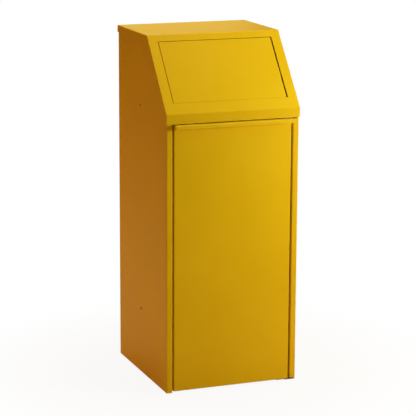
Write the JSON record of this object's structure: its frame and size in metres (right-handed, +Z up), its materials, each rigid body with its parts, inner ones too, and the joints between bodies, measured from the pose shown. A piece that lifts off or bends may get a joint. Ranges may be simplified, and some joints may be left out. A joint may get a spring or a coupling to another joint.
{
  "type": "waste collection bin",
  "caption": "Free-standing sheet-steel collection bin with a sloping hood, an inward push flap and a side-hinged front door with a full-width finger lip.",
  "frame": {"origin": "on the floor, under the centre of the overall box", "axes": "+Z up, front (door and flap) towards -Y, +X to the right as seen from the front"},
  "size_m": [0.4, 0.4376, 1],
  "materials": {
    "yellow_powder_coat": "semi-gloss powder coat",
    "black_glide_plastic": "moulded polyethylene",
    "black_nylon": "moulded nylon",
    "white_nylon": "moulded nylon",
    "black_rubber": "soft stick-on pad",
    "galvanised_steel": "galvanised, spangled",
    "zinc_plated_steel": "bright zinc plate",
    "spring_steel": "oil-tempered wire",
    "ferrite": "pressed ferrite",
    "dark_zinc_steel": "black zinc plate"
  },
  "bodies": {
    "housing": {"left_side_panel": "yellow_powder_coat", "right_side_panel": "yellow_powder_coat", "back_panel": "yellow_powder_coat", "back_rivets": "zinc_plated_steel", "floor_pan": "yellow_powder_coat", "header_rail": "yellow_powder_coat", "hood": "yellow_powder_coat", "hood_studs": "zinc_plated_steel", "hood_nuts": "zinc_plated_steel", "flap_bumpers": "black_rubber", "flap_bracket_left": "yellow_powder_coat", "flap_bracket_right": "yellow_powder_coat", "flap_bush_left": "white_nylon", "flap_bush_right": "white_nylon", "flap_spring_left": "spring_steel", "flap_spring_right": "spring_steel", "top_pivot_bracket": "yellow_powder_coat", "top_pivot_bush": "white_nylon", "bottom_pivot_bracket": "dark_zinc_steel", "bottom_pivot_pin": "dark_zinc_steel", "thrust_washer": "black_nylon", "magnet_case": "black_nylon", "magnet": "ferrite", "pole_plates": "zinc_plated_steel", "catch_screws": "zinc_plated_steel", "inner_container": "galvanised_steel", "foot_front_left": "black_glide_plastic", "foot_front_right": "black_glide_plastic", "foot_rear_left": "black_glide_plastic", "foot_rear_right": "black_glide_plastic"},
    "flap": {"flap_panel": "yellow_powder_coat", "flap_stiffener": "yellow_powder_coat", "hinge_rod": "zinc_plated_steel", "rod_clip_left": "zinc_plated_steel", "rod_clip_right": "zinc_plated_steel"},
    "door": {"door_panel": "yellow_powder_coat", "door_stiffener": "yellow_powder_coat", "top_pivot_arm": "dark_zinc_steel", "top_pivot_pin": "zinc_plated_steel", "bottom_pivot_arm": "dark_zinc_steel", "keeper_plate": "zinc_plated_steel"}
  },
  "joints": [
    {"name": "flap_hinge", "type": "hinge", "parent": "housing", "child": "flap", "pos_m": [0, -0.04872, 0.97163], "axis": [1, 0, 0], "range_deg": [0, 70], "stiffness_Nm_per_rad": 0.35, "springref_deg": -103.13, "deforming": ["flap_spring_left", "flap_spring_right"]},
    {"name": "door_hinge", "type": "hinge", "parent": "housing", "child": "door", "pos_m": [0.1865, -0.19225, 0.4], "axis": [0, 0, 1], "range_deg": [0, 95]}
  ]
}
